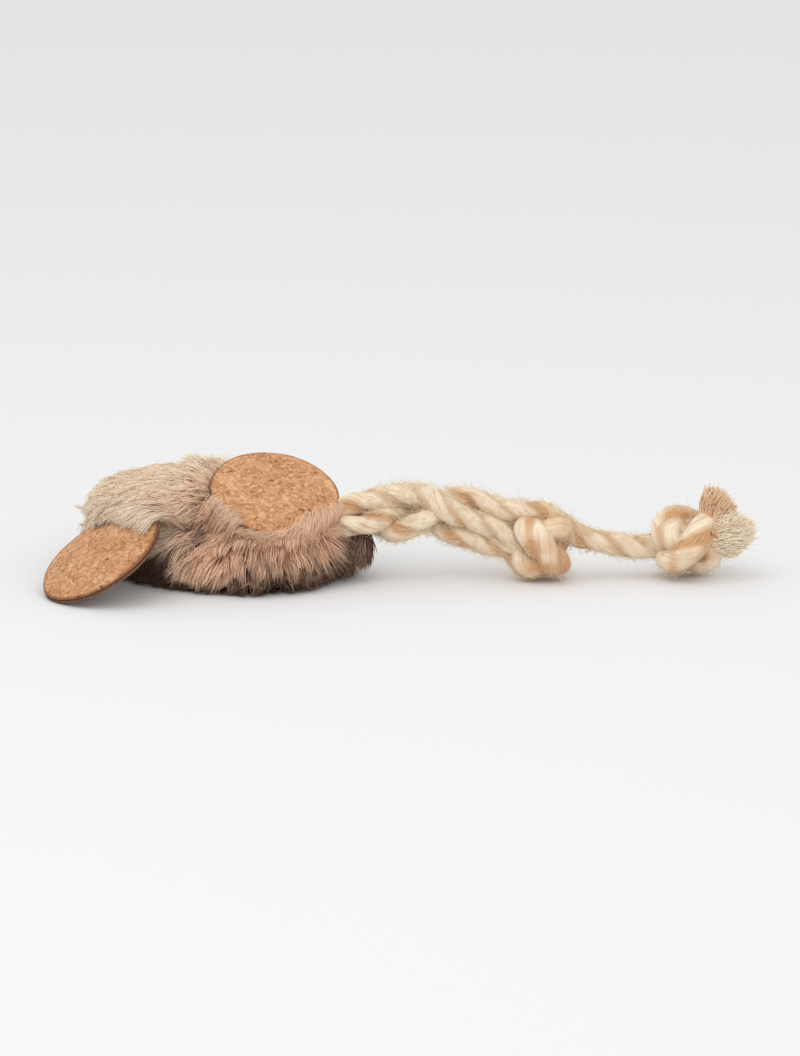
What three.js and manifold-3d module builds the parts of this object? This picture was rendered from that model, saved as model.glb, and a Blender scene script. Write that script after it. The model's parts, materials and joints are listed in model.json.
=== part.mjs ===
// A plush catnip mouse: a stuffed faux-fur body of two sewn panels, two cork ears and a plaited cord tail.
// Millimetres, +Z up. The origin lies on the floor under the body's middle, and +X runs along the tail.
import * as THREE from "three";
import { mergeVertices } from "three/addons/utils/BufferGeometryUtils.js";
import Module from "manifold-3d";

// Fits
const CLEARANCE = 0.3; // between pieces that touch
const FLOOR_CLEARANCE = 0.25; // under an ear tip or a knot that lies on the floor

// Stuffed body, nose to -X and rump to +X of its own frame
const BODY_TURN = -30; // degrees from the tail's line
const NOSE_REACH = 46;
const RUMP_REACH = 37;
const GIRTH = 60.5; // full width
const GIRTH_HEIGHT = 10; // level at which the sides stand out most
const BODY_HEIGHT = 29.4;
const BELLY_CUT = 0.5; // depth of the flat that the belly lies on
const NOSE_PLAN = 1.9; // powers of the rounded outlines: 2 is an ellipse, and more is blunter
const RUMP_PLAN = 2.3;
const NOSE_CROWN = 2.1;
const RUMP_CROWN = 0.85; // power of the back's slope down to the tail
const KEEL = 3.5;
const SHOULDER_ROUND = 2.45; // powers of the cross-section
const HIP_ROUND = 1.6;
const BELLY_ROUND = 2.6;
const ROUND_PLACE = -4; // where shoulder turns into hip
const ROUND_BLEND = 8; // half the length over which it does
const PLUSH_THICKNESS = 5; // cloth and pressed pile
const STUFFING_SLACK = 0.8; // between the stuffing and the cloth

// Seam round the two panels
const SEAM_HEIGHT = 15;
const SEAM_TUCK = 2.3; // how far the stitches draw the plush in
const SEAM_SPREAD = 3; // half-height of that crease
const THREAD_DIAMETER = 0.6;
const OPENING_TURN = 60; // degrees from the rump to the end of the hand-sewn opening

// Sachet in the stuffing
const SACHET_RADIUS = 7;
const SACHET_END = 8; // from the closed end to the widest place
const SACHET_SHOULDER = 10; // from the widest place to the neck
const SACHET_NECK_RADIUS = 2.5;
const SACHET_NECK_LENGTH = 2;
const SACHET_FRILL_RADIUS = 4.5;
const SACHET_FRILL_LENGTH = 5;
const SACHET_WALL = 0.8;
const TIE_DIAMETER = 1.2;

// Ears
const EAR_DIAMETER = 36.5;
const EAR_FOOT_WIDTH = 9; // straight edge at the stitches
const EAR_DOME = 1.8; // how far the middle stands out
const CORK_THICKNESS = 0.8;
const BACKING_THICKNESS = 0.6;
const TACK_DIAMETER = 2;
const LEFT_EAR_SEAT = { x: -6.1, climb: 29, stand: 1.35 }; // climb in degrees up the near side
const LEFT_EAR_BEARING = 239.8; // degrees
const RIGHT_EAR_SEAT = { x: 10.8, climb: 47.7, stand: 1.1 };
const RIGHT_EAR_BEARING = 69.5;
const RIGHT_EAR_RISE = 10.8;
const RIGHT_EAR_ROLL = 25.2;

// Tail
const TAIL_TURN = 17.5; // degrees round the seam from the rump
const TAIL_STAND = 3.8; // from the seam's line out to the middle of the binding
const BINDING_DIAMETER = 10;
const BINDING_HEIGHT = 8.8;
const STRAND_DIAMETER = 6.3;
const STRAND_SPREAD = 3; // how far the plait widens between root and knot
const KNOT_RING_RADIUS = 7; // from the knot's middle to the middle of the strand wound round it
const KNOT_TILT = 30; // degrees
const TAN_TUFT = { length: 18.4, radius: 4, bearing: 9, rise: 49 }; // from the end knot's middle
const PALE_TUFT = { length: 19, radius: 6.3, bearing: -6, rise: 12 };
const TUFT_CROWN = 1.5; // bulge of a frayed end

// The plait's middle line from the tail's root, x and y from there and z from the floor
const TAIL_ROUTE = [
  [0, 0, 18.6],
  [4, 0, 19.4],
  [7.5, 0, 19.8],
  [11, -0.1, 19.9],
  [14.5, -0.1, 19.9],
  [18, -0.1, 19.8],
  [21.5, -0.2, 19.5],
  [25, -0.2, 19.2],
  [28.5, -0.2, 18.7],
  [32, -0.3, 18.1],
  [35.5, -0.3, 17.2],
  [38.5, -0.3, 16.2],
  [41.5, -0.3, 15.1],
  [45, -0.4, 13.8],
  [49, -0.4, 12.1],
  [52.9, -0.4, 10.4],
];

// The last strand's middle line from the middle knot to the end knot
const TIP_ROUTE = [
  [0, 0, 11.4],
  [6, 0.2, 12],
  [11.5, 0.4, 12.1],
  [16, 0.7, 11.2],
  [20.5, 1.1, 10.1],
  [24.5, 1.5, 9.3],
  [28.5, 1.9, 8.9],
  [33, 2.2, 9.2],
  [37, 2.4, 9.9],
  [41.1, 2.5, 10.4],
];

// Fineness of the rounded faces
const FORM_SIDES = 40;
const FORM_RINGS = 20;
const LINING_SIDES = 24;
const LINING_RINGS = 12;
const LATHE_SIDES = 24;
const ARC_STEPS = 4;
const TUBE_SIDES = 8;
const STRAND_STEPS = 16;
const THREAD_SIDES = 6;
const THREAD_STEPS = 40;
const KNOT_SIDES = 20;

// Sizes that follow
const BINDING_RADIUS = BINDING_DIAMETER / 2;
const STRAND_RADIUS = STRAND_DIAMETER / 2;
const STRAND_PITCH = STRAND_DIAMETER + CLEARANCE;
const KNOT_RADIUS = KNOT_RING_RADIUS + STRAND_RADIUS;
const KNOT_HEIGHT = KNOT_RADIUS + FLOOR_CLEARANCE;
const SEAM_GAP = THREAD_DIAMETER + 2 * CLEARANCE;
const EAR_RADIUS = EAR_DIAMETER / 2;
const EAR_THICKNESS = CORK_THICKNESS + CLEARANCE + BACKING_THICKNESS;
const EAR_FOOT = TACK_DIAMETER / 2 + CLEARANCE;
const EAR_CHORD = Math.sqrt(EAR_RADIUS ** 2 - (EAR_FOOT_WIDTH / 2) ** 2);
const EAR_REACH = EAR_FOOT + EAR_CHORD + EAR_RADIUS;

const { degToRad, lerp, smoothstep } = THREE.MathUtils;
const wasm = await Module();
wasm.setup();

// A closed geometry as a solid that can be cut and joined.
function solidOf(geometry) {
  geometry.deleteAttribute("normal");
  geometry.deleteAttribute("uv");
  const merged = mergeVertices(geometry);
  const vertProperties = merged.getAttribute("position").array;
  const triVerts = new Uint32Array(merged.index.array);
  return new wasm.Manifold(new wasm.Mesh({ numProp: 3, vertProperties, triVerts }));
}

function geometryOf(solid) {
  const { vertProperties, triVerts } = solid.getMesh();
  const geometry = new THREE.BufferGeometry();
  geometry.setAttribute("position", new THREE.BufferAttribute(vertProperties, 3));
  geometry.setIndex(new THREE.BufferAttribute(triVerts, 1));
  geometry.computeVertexNormals();
  return geometry;
}

function piece(name, solid, color, roughness) {
  const material = new THREE.MeshStandardMaterial({ color, roughness, metalness: 0 });
  const mesh = new THREE.Mesh(geometryOf(solid), material);
  mesh.name = name;
  return mesh;
}

const above = (solid, z) => solid.trimByPlane([0, 0, 1], z);
const below = (solid, z) => solid.trimByPlane([0, 0, -1], -z);

function upright(radius, low, high) {
  const drum = new THREE.CylinderGeometry(radius, radius, high - low, LATHE_SIDES);
  return solidOf(drum.rotateX(Math.PI / 2).translate(0, 0, (low + high) / 2));
}

function tube(points, diameter, sides, steps) {
  const section = new THREE.Shape().absarc(0, 0, diameter / 2, 0, 2 * Math.PI);
  const extrudePath = new THREE.CatmullRomCurve3(points);
  const settings = { steps, curveSegments: sides / 2, bevelEnabled: false, extrudePath };
  return solidOf(new THREE.ExtrudeGeometry(section, settings));
}

// Body form

// What is left of a full size at a share of the way from the middle to the end.
const bulge = (share, power) => (1 - share ** power) ** (1 / power);

// The body's cross-section, inset from the plush's outer face; along runs from -1, the nose, to 1, the rump.
function section(along, inset) {
  const share = Math.abs(along);
  const toNose = along < 0;
  const x = along * ((toNose ? NOSE_REACH : RUMP_REACH) - inset);
  const level = lerp(GIRTH_HEIGHT, SEAM_HEIGHT, share ** 2);
  const crown = toNose ? bulge(share, NOSE_CROWN) : 1 - share ** RUMP_CROWN;
  return {
    x,
    level,
    halfWidth: (GIRTH / 2 - inset) * bulge(share, toNose ? NOSE_PLAN : RUMP_PLAN),
    rise: SEAM_HEIGHT - level + (BODY_HEIGHT - inset - SEAM_HEIGHT) * crown,
    drop: (level + BELLY_CUT - inset) * bulge(share, KEEL),
    round: lerp(SHOULDER_ROUND, HIP_ROUND, smoothstep(x - ROUND_PLACE, -ROUND_BLEND, ROUND_BLEND)),
  };
}

// The seam's stitches draw a point in towards the body's upright axis.
function drawnIn(x, y, z) {
  const tuck = SEAM_TUCK * Math.exp(-(((z - SEAM_HEIGHT) / SEAM_SPREAD) ** 2));
  const left = 1 - tuck / Math.hypot(x, y, SEAM_TUCK);
  return new THREE.Vector3(x * left, y * left, z);
}

function formPoint(along, around, inset) {
  const { x, level, halfWidth, rise, drop, round } = section(along, inset);
  const side = Math.cos(around);
  const climb = Math.sin(around);
  const [height, power] = climb > 0 ? [rise, round] : [drop, BELLY_ROUND];
  const y = halfWidth * Math.sign(side) * Math.abs(side) ** (2 / power);
  const z = level + height * Math.sign(climb) * Math.abs(climb) ** (2 / power);
  return drawnIn(x, y, z);
}

function seamPoint(turn, inset) {
  const { x, level, halfWidth, rise, round } = section(Math.cos(turn), inset);
  const climb = (SEAM_HEIGHT - level) / rise;
  const y = halfWidth * Math.sign(Math.sin(turn)) * bulge(climb, round);
  return drawnIn(x, y, SEAM_HEIGHT);
}

function bodyForm(inset, sides, rings) {
  const form = new THREE.SphereGeometry(1, sides, rings).rotateZ(Math.PI / 2);
  const places = form.getAttribute("position");
  for (let i = 0; i < places.count; i += 1) {
    const around = Math.atan2(places.getZ(i), places.getY(i));
    places.setXYZ(i, ...formPoint(places.getX(i), around, inset));
  }
  return solidOf(form);
}

// Tail binding: the whipped end of the strands, upright in a notch in the seam

const tailTurn = degToRad(TAIL_TURN);
const tailSeat = seamPoint(tailTurn, -TAIL_STAND).setZ(0);
const bindingLow = SEAM_HEIGHT - BINDING_HEIGHT / 2;
const bindingHigh = SEAM_HEIGHT + BINDING_HEIGHT / 2;
const binding = upright(BINDING_RADIUS, bindingLow, bindingHigh);
const bindingBore = upright(BINDING_RADIUS + CLEARANCE, bindingLow - CLEARANCE, bindingHigh + BODY_HEIGHT);
const bindingNotch = bindingBore.translate([tailSeat.x, tailSeat.y, 0]);

// Plush panels and their threads

const outside = bodyForm(0, FORM_SIDES, FORM_RINGS);
const lining = bodyForm(PLUSH_THICKNESS, LINING_SIDES, LINING_RINGS);
const shell = outside.subtract(lining).subtract(bindingNotch);
const upperPanel = above(shell, SEAM_HEIGHT + SEAM_GAP / 2);
const lowerPanel = above(below(shell, SEAM_HEIGHT - SEAM_GAP / 2), 0);

function seamThread(fromTurn, toTurn) {
  const points = Array.from({ length: THREAD_STEPS + 1 }, (_, i) =>
    seamPoint(lerp(fromTurn, toTurn, i / THREAD_STEPS), PLUSH_THICKNESS / 2),
  );
  return tube(points, THREAD_DIAMETER, THREAD_SIDES, THREAD_STEPS).subtract(bindingNotch);
}

const openingTurn = degToRad(OPENING_TURN);
const endGap = (2 * CLEARANCE) / RUMP_REACH; // turn between the two threads where their ends meet
const machineThread = seamThread(tailTurn - endGap, openingTurn + endGap - 2 * Math.PI);
const handThread = seamThread(tailTurn, openingTurn);

// Sachet: a round muslin bag along the body's axis, open at its tied neck, which points to the nose

const sachetNeckStart = SACHET_SHOULDER;
const sachetFrillStart = sachetNeckStart + SACHET_NECK_LENGTH;
const sachetMouth = sachetFrillStart + SACHET_FRILL_LENGTH;

// The bag's profile from the closed end to the mouth, inset by the wall for its inside.
function sachetProfile(inset) {
  const radius = SACHET_RADIUS - inset;
  const neck = SACHET_NECK_RADIUS - inset;
  const quarter = Array.from({ length: ARC_STEPS + 1 }, (_, i) => ((i / ARC_STEPS) * Math.PI) / 2);
  const end = quarter.map((a) => [radius * Math.sin(a), -(SACHET_END - inset) * Math.cos(a)]);
  const shoulder = quarter.map((a) => [neck + (radius - neck) * Math.cos(a), SACHET_SHOULDER * Math.sin(a)]);
  const frill = [[neck, sachetFrillStart], [SACHET_FRILL_RADIUS - inset, sachetMouth]];
  return [...end, ...shoulder.slice(1), ...frill].map(([r, y]) => new THREE.Vector2(r, y));
}

function lathe(profile) {
  return new THREE.LatheGeometry(profile, LATHE_SIDES).rotateZ(-Math.PI / 2);
}

const sachetBag = solidOf(lathe([...sachetProfile(0), ...sachetProfile(SACHET_WALL).reverse()]));
const leafInset = SACHET_WALL + CLEARANCE;
const leafRadius = SACHET_RADIUS - leafInset;
const leafReach = SACHET_END - leafInset;
const leaf = new THREE.SphereGeometry(1, KNOT_SIDES, KNOT_SIDES / 2).scale(leafReach, leafRadius, leafRadius);
const tieRadius = SACHET_NECK_RADIUS + CLEARANCE + TIE_DIAMETER / 2;
const tie = new THREE.TorusGeometry(tieRadius, TIE_DIAMETER / 2, THREAD_SIDES, KNOT_SIDES).rotateY(Math.PI / 2);
const tiePlace = sachetNeckStart + SACHET_NECK_LENGTH / 2;
const sachetHeight = BODY_HEIGHT / 2;

// Stuffing: two wads round the sachet

const pocketRadius = SACHET_RADIUS + CLEARANCE;
const pocketEnds = [-SACHET_END - CLEARANCE, sachetMouth + CLEARANCE];
const pocketProfile = [
  new THREE.Vector2(0, pocketEnds[0]),
  new THREE.Vector2(pocketRadius, pocketEnds[0]),
  new THREE.Vector2(pocketRadius, pocketEnds[1]),
  new THREE.Vector2(0, pocketEnds[1]),
];
const pocket = solidOf(lathe(pocketProfile).rotateZ(Math.PI)).translate([0, 0, sachetHeight]);
const filling = bodyForm(PLUSH_THICKNESS + STUFFING_SLACK, LINING_SIDES, LINING_RINGS).subtract(pocket).subtract(bindingNotch);
const frontWad = filling.trimByPlane([-1, 0, 0], CLEARANCE / 2);
const rearWad = filling.trimByPlane([1, 0, 0], CLEARANCE / 2);

// Ears: cork on a cloth backing, +X from the stitches to the tip and +Z out of the cork

function earPlate(low, thickness) {
  const dome = (r) => EAR_DOME * (1 - (r / EAR_RADIUS) ** 2);
  const radii = Array.from({ length: ARC_STEPS + 1 }, (_, i) => (EAR_RADIUS * i) / ARC_STEPS);
  const under = radii.map((r) => new THREE.Vector2(r, low + dome(r)));
  const over = radii.map((r) => new THREE.Vector2(r, low + thickness + dome(r)));
  const disc = new THREE.LatheGeometry([...under, ...over.reverse()], LATHE_SIDES).rotateX(Math.PI / 2);
  return solidOf(disc).trimByPlane([1, 0, 0], -EAR_CHORD).translate([EAR_FOOT + EAR_CHORD, 0, 0]);
}

function ear(side, seat) {
  const around = degToRad(180 - seat.climb);
  const along = seat.x / (seat.x < 0 ? NOSE_REACH : RUMP_REACH);
  const backingLow = -EAR_THICKNESS / 2;
  const corkLow = EAR_THICKNESS / 2 - CORK_THICKNESS;
  const tack = new THREE.CylinderGeometry(TACK_DIAMETER / 2, TACK_DIAMETER / 2, EAR_FOOT_WIDTH, TUBE_SIDES);
  const group = new THREE.Group();
  group.position.copy(formPoint(along, around, -EAR_FOOT - seat.stand));
  group.add(
    piece(`${side}_ear_cork`, earPlate(corkLow, CORK_THICKNESS), 0xc08a5c, 0.85),
    piece(`${side}_ear_backing`, earPlate(backingLow, BACKING_THICKNESS), 0xa87c5a, 0.95),
    piece(`${side}_ear_tack`, solidOf(tack), 0x8a6a52, 0.9),
  );
  return group;
}

// The left ear hangs until its tip lies on the floor, and the right one lies over the rump.
const leftEar = ear("left", LEFT_EAR_SEAT);
const leftEarSlant = Math.hypot(EAR_REACH, EAR_THICKNESS / 2);
const leftEarDrop = Math.min(1, (leftEar.position.z - FLOOR_CLEARANCE) / leftEarSlant);
const leftEarDroop = Math.asin(leftEarDrop) - Math.atan2(EAR_THICKNESS / 2, EAR_REACH);
leftEar.rotation.set(0, leftEarDroop, degToRad(LEFT_EAR_BEARING), "ZYX");
const rightEar = ear("right", RIGHT_EAR_SEAT);
rightEar.rotation.set(degToRad(RIGHT_EAR_ROLL), -degToRad(RIGHT_EAR_RISE), degToRad(RIGHT_EAR_BEARING), "ZYX");

// Tail: three strands to the middle knot, and one on to the end knot

const [knotX, knotY] = TAIL_ROUTE.at(-1);
const [endX, endY] = TIP_ROUTE.at(-1);

// A knot round its own middle: a core and two crossed turns of the strand, swollen by the given amount.
function knot(swell) {
  const core = new THREE.SphereGeometry(KNOT_RADIUS + swell, KNOT_SIDES, KNOT_SIDES / 2);
  const girth = (KNOT_RING_RADIUS + swell) / (KNOT_RADIUS + swell);
  const turn = (tilt) =>
    new THREE.TorusGeometry(KNOT_RING_RADIUS, STRAND_RADIUS + swell, TUBE_SIDES, KNOT_SIDES)
      .rotateY(Math.PI / 2)
      .rotateZ(degToRad(tilt));
  const turns = [KNOT_TILT, -KNOT_TILT].map((tilt) => solidOf(turn(tilt)));
  return turns.reduce((whole, part) => whole.add(part), solidOf(core.scale(1, girth, girth)));
}

const knotAt = (x, y, swell) => knot(swell).translate([x, y, KNOT_HEIGHT]);
const midKnotRoom = knotAt(knotX, knotY, CLEARANCE);
const endKnotRoom = knotAt(endX, endY, CLEARANCE);

// A strand beside the plait's middle line: lift of 1 above it, -1 below, and across to the far side.
function strand(lift, across) {
  const offset = STRAND_PITCH / 2;
  const row = across * offset * Math.sin(Math.PI / 3);
  const points = TAIL_ROUTE.map(([x, y, z], i) => {
    const widening = STRAND_SPREAD * Math.sin((Math.PI * i) / (TAIL_ROUTE.length - 1));
    return new THREE.Vector3(x, y + row, z + lift * (offset + widening));
  });
  return tube(points, STRAND_DIAMETER, TUBE_SIDES, STRAND_STEPS).subtract(bindingBore).subtract(midKnotRoom);
}

const tipPoints = TIP_ROUTE.map((point) => new THREE.Vector3(...point));
const swingRoom = upright(KNOT_RADIUS + CLEARANCE, 0, BODY_HEIGHT);
const tipStrand = tube(tipPoints, STRAND_DIAMETER, TUBE_SIDES, STRAND_STEPS)
  .subtract(swingRoom)
  .subtract(endKnotRoom);

function tuft({ length, radius, bearing, rise }) {
  const profile = [
    new THREE.Vector2(0, 0),
    new THREE.Vector2(radius, length),
    new THREE.Vector2(0, length + TUFT_CROWN),
  ];
  const cone = lathe(profile).rotateY(-degToRad(rise)).rotateZ(degToRad(bearing));
  return solidOf(cone.translate(endX, endY, KNOT_HEIGHT)).subtract(endKnotRoom);
}

// Assembly

const sachet = new THREE.Group();
sachet.position.set(0, 0, sachetHeight);
sachet.rotation.z = Math.PI;
sachet.add(
  piece("sachet_bag", sachetBag, 0xd9cdb8, 0.95),
  piece("sachet_tie", solidOf(tie.translate(tiePlace, 0, 0)), 0xb7a58a, 0.9),
  piece("catnip_leaf", solidOf(leaf), 0x6f7a45, 1),
);

const tailTip = new THREE.Group();
tailTip.position.set(knotX, knotY, 0);
tailTip.add(
  piece("tail_end_strand", tipStrand, 0xd9bf98, 0.95),
  piece("tail_knot_end", knotAt(endX, endY, 0), 0xd2b68e, 0.95),
  piece("tail_tuft_tan", tuft(TAN_TUFT), 0xb98d5c, 1),
  piece("tail_tuft_pale", tuft(PALE_TUFT), 0xe3d6c0, 1),
);

const tail = new THREE.Group();
tail.position.copy(tailSeat);
tail.rotation.z = -degToRad(BODY_TURN);
tail.add(
  piece("tail_binding", binding, 0x8a6a52, 0.95),
  piece("tail_strand_upper", strand(1, -1), 0xdcc5a2, 0.95),
  piece("tail_strand_lower", strand(-1, -1), 0xd6bb94, 0.95),
  piece("tail_strand_back", strand(0, 1), 0xcfb48c, 0.95),
  piece("tail_knot_mid", knotAt(knotX, knotY, 0), 0xd6bc96, 0.95),
  tailTip,
);

const body = new THREE.Group();
body.rotation.z = degToRad(BODY_TURN);
body.add(
  piece("plush_upper", upperPanel, 0x9c8272, 1),
  piece("plush_lower", lowerPanel, 0x7c6258, 1),
  piece("seam_thread", machineThread, 0x6b5448, 0.9),
  piece("closing_thread", handThread, 0x6b5448, 0.9),
  piece("stuffing_front", frontWad, 0xeeeae2, 1),
  piece("stuffing_rear", rearWad, 0xeeeae2, 1),
  sachet,
  leftEar,
  rightEar,
  tail,
);

const mouse = new THREE.Group();
mouse.add(body);

export default mouse;
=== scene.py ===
"""A plush catnip mouse lying on the floor: faux-fur body, two cork ears and a plaited cord tail."""
import json
import math
import bpy
import numpy as np
from mathutils import Matrix, Vector, kdtree, noise


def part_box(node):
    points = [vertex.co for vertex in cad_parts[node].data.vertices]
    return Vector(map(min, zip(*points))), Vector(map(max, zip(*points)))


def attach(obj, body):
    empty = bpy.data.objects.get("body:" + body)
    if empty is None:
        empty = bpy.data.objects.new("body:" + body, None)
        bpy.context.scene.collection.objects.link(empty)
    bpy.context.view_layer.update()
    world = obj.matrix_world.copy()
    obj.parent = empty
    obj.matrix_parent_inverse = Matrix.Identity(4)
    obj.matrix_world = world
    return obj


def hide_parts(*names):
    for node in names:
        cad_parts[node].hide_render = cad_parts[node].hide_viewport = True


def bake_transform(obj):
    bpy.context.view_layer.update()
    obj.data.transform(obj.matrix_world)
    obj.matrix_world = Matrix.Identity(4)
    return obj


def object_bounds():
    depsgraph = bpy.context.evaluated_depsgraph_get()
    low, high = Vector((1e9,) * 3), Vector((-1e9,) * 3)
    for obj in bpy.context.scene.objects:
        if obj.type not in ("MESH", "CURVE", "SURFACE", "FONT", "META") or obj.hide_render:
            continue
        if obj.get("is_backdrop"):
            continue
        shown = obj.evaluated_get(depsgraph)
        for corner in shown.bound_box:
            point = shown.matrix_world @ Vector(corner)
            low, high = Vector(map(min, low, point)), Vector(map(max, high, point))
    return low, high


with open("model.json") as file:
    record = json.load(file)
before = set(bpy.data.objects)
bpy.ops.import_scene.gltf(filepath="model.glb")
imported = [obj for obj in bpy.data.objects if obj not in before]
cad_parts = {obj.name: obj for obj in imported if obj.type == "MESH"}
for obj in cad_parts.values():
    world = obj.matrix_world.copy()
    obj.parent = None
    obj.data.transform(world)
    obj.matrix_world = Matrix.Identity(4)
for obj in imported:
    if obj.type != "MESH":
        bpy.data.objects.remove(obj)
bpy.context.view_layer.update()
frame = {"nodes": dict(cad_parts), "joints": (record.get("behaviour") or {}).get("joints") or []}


# Sachet: a small muslin bag of dried catnip leaf, gathered at its neck and closed with a
# wound tie. It sits loose in the middle of the stuffing.

MM = 0.001


class Wire:
    """A shader node's output. Arithmetic on it adds Math nodes."""

    def __init__(self, tree, socket):
        self.tree = tree
        self.socket = socket

    def math(self, operation, *values):
        node = self.tree.nodes.new("ShaderNodeMath")
        node.operation = operation
        for entry, value in zip(node.inputs, values):
            if isinstance(value, Wire):
                self.tree.links.new(value.socket, entry)
            else:
                entry.default_value = value
        return Wire(self.tree, node.outputs[0])

    def __add__(self, other):
        return self.math("ADD", self, other)

    def __sub__(self, other):
        return self.math("SUBTRACT", self, other)

    def __rsub__(self, other):
        return self.math("SUBTRACT", other, self)

    def __mul__(self, other):
        return self.math("MULTIPLY", self, other)

    __radd__ = __add__
    __rmul__ = __mul__


class Finish:
    """A material with one Principled shader. node() adds any other node to it."""

    def __init__(self, name, **constants):
        self.material = bpy.data.materials.new(name)
        self.material.use_nodes = True
        self.tree = self.material.node_tree
        self.shader = self.tree.nodes["Principled BSDF"]
        for socket, value in constants.items():
            self.shader.inputs[socket.replace("_", " ")].default_value = value

    def node(self, kind, settings=None, sockets=None, output=0):
        node = self.tree.nodes.new("ShaderNode" + kind)
        for key, value in (settings or {}).items():
            if key == "stops":
                ramp = node.color_ramp
                while len(ramp.elements) < len(value):
                    ramp.elements.new(0.5)
                for element, (place, color) in zip(ramp.elements, value):
                    element.position = place
                    element.color = color
            else:
                setattr(node, key, value)
        for key, value in (sockets or {}).items():
            if isinstance(value, Wire):
                self.tree.links.new(value.socket, node.inputs[key])
            else:
                node.inputs[key].default_value = value
        return Wire(self.tree, node.outputs[output])

    def mask(self, attribute):
        return self.node("Attribute", {"attribute_name": attribute}, output=2)

    def vector(self, attribute):
        return self.node("Attribute", {"attribute_name": attribute}, output=1)

    def place(self):
        return self.node("TexCoord", output=3)

    def grain(self, vector, scale, detail=2.0):
        return self.node("TexNoise", {}, {"Vector": vector, "Scale": scale, "Detail": detail})

    def wave(self, vector, scale, way):
        return self.node("TexWave", {"bands_direction": way}, {"Vector": vector, "Scale": scale})

    def weave(self, vector, scale):
        return self.wave(vector, scale, "X") * self.wave(vector, scale, "Y")

    def mix(self, share, low, high):
        return self.node("Mix", {"data_type": "RGBA"}, {0: share, 6: low, 7: high}, output=2)

    def between(self, value, low, high):
        return self.node("MapRange", {}, {0: value, 1: low, 2: high})

    def bump(self, height, depth, strength=1.0):
        return self.node("Bump", {}, {"Height": height, "Distance": depth, "Strength": strength})

    def feed(self, **wires):
        for socket, wire in wires.items():
            self.tree.links.new(wire.socket, self.shader.inputs[socket.replace("_", " ")])


def tint(red, green, blue):
    """A colour written in screen values, as the shader's linear one."""
    values = np.array([red, green, blue]) / 255
    linear = np.where(values <= 0.04045, values / 12.92, ((values + 0.055) / 1.055) ** 2.4)
    return (*linear.tolist(), 1.0)


def make_piece(name, points, faces, material, **masks):
    """A smooth mesh from points in metres, with a float or vector attribute for each mask."""
    mesh = bpy.data.meshes.new(name)
    mesh.from_pydata(np.asarray(points).tolist(), [], [list(face) for face in faces])
    for key, values in masks.items():
        values = np.asarray(values, np.float32)
        vector = values.ndim == 2
        attribute = mesh.attributes.new(key, "FLOAT_VECTOR" if vector else "FLOAT", "POINT")
        attribute.data.foreach_set("vector" if vector else "value", values.ravel())
    mesh.shade_smooth()
    mesh.materials.append(material)
    piece = bpy.data.objects.new(name, mesh)
    bpy.context.scene.collection.objects.link(piece)
    return piece


def settle(piece):
    """Works a piece's modifiers into its mesh."""
    bpy.context.view_layer.update()
    shape = piece.evaluated_get(bpy.context.evaluated_depsgraph_get())
    mesh = bpy.data.meshes.new_from_object(shape)
    piece.modifiers.clear()
    piece.data = mesh


def soft_lump(name, node, material, voxel, lump, size):
    """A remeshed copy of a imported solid, drawn in by up to the lump's depth. Sizes are in mm."""
    piece = bpy.data.objects.new(name, frame["nodes"][node].data.copy())
    bpy.context.scene.collection.objects.link(piece)
    piece.data.materials.clear()
    piece.data.materials.append(material)
    remesh = piece.modifiers.new("Remesh", "REMESH")
    remesh.mode = "VOXEL"
    remesh.voxel_size = voxel * MM
    remesh.use_smooth_shade = True
    settle(piece)
    for vertex in piece.data.vertices:
        depth = lump * MM * (0.5 + 0.5 * noise.noise(vertex.co / (size * MM)))
        vertex.co -= vertex.normal * depth
    piece.data.update()
    return piece


muslin = Finish("muslin", Roughness=0.95, Sheen_Weight=0.2)
muslin_weave = muslin.weave(muslin.place(), 900.0)
muslin_color = muslin.mix(muslin_weave, tint(196, 182, 155), tint(226, 215, 192))
muslin.feed(Base_Color=muslin_color, Normal=muslin.bump(muslin_weave, 0.0002))

leaf = Finish("dried_leaf", Roughness=0.95)
crumb = leaf.grain(leaf.place(), 700.0, 4.0)
leaf_color = leaf.mix(crumb, tint(84, 92, 48), tint(146, 146, 92))
leaf.feed(Base_Color=leaf_color, Normal=leaf.bump(crumb, 0.0006))

for name, node, slot, finish, voxel, lump, size in (
    ("sachet_cloth", "sachet_bag", "muslin", muslin, 0.5, 0.25, 3),
    ("sachet_cord", "sachet_tie", "muslin", muslin, 0.3, 0.15, 1),
    ("catnip_crumbs", "catnip_leaf", "leaf", leaf, 0.6, 1.2, 1.5),
):
    piece = soft_lump(name, node, finish.material, voxel, lump, size)
    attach(piece, "body")
    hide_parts(node)


# Stuffing: two wads of loose white fibre, pushed in round the sachet from the opening in
# the seam. Only the cloth holds them.

fibre_fill = Finish("fibre_fill", Roughness=1.0)
fill_grain = fibre_fill.grain(fibre_fill.place(), 500.0, 6.0)
fill_color = fibre_fill.mix(fill_grain, tint(214, 210, 202), tint(244, 242, 237))
fibre_fill.feed(Base_Color=fill_color, Normal=fibre_fill.bump(fill_grain, 0.001))
for name, node in (("front_wad", "stuffing_front"), ("rear_wad", "stuffing_rear")):
    wad = soft_lump(name, node, fibre_fill.material, voxel=1.6, lump=1.0, size=7)
    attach(wad, "body")
    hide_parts(node)


# Plush cloth: the two panels that are sewn together round the edge and stuffed. The woven
# ground of the faux fur is blown up against its stitched seam.

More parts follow.
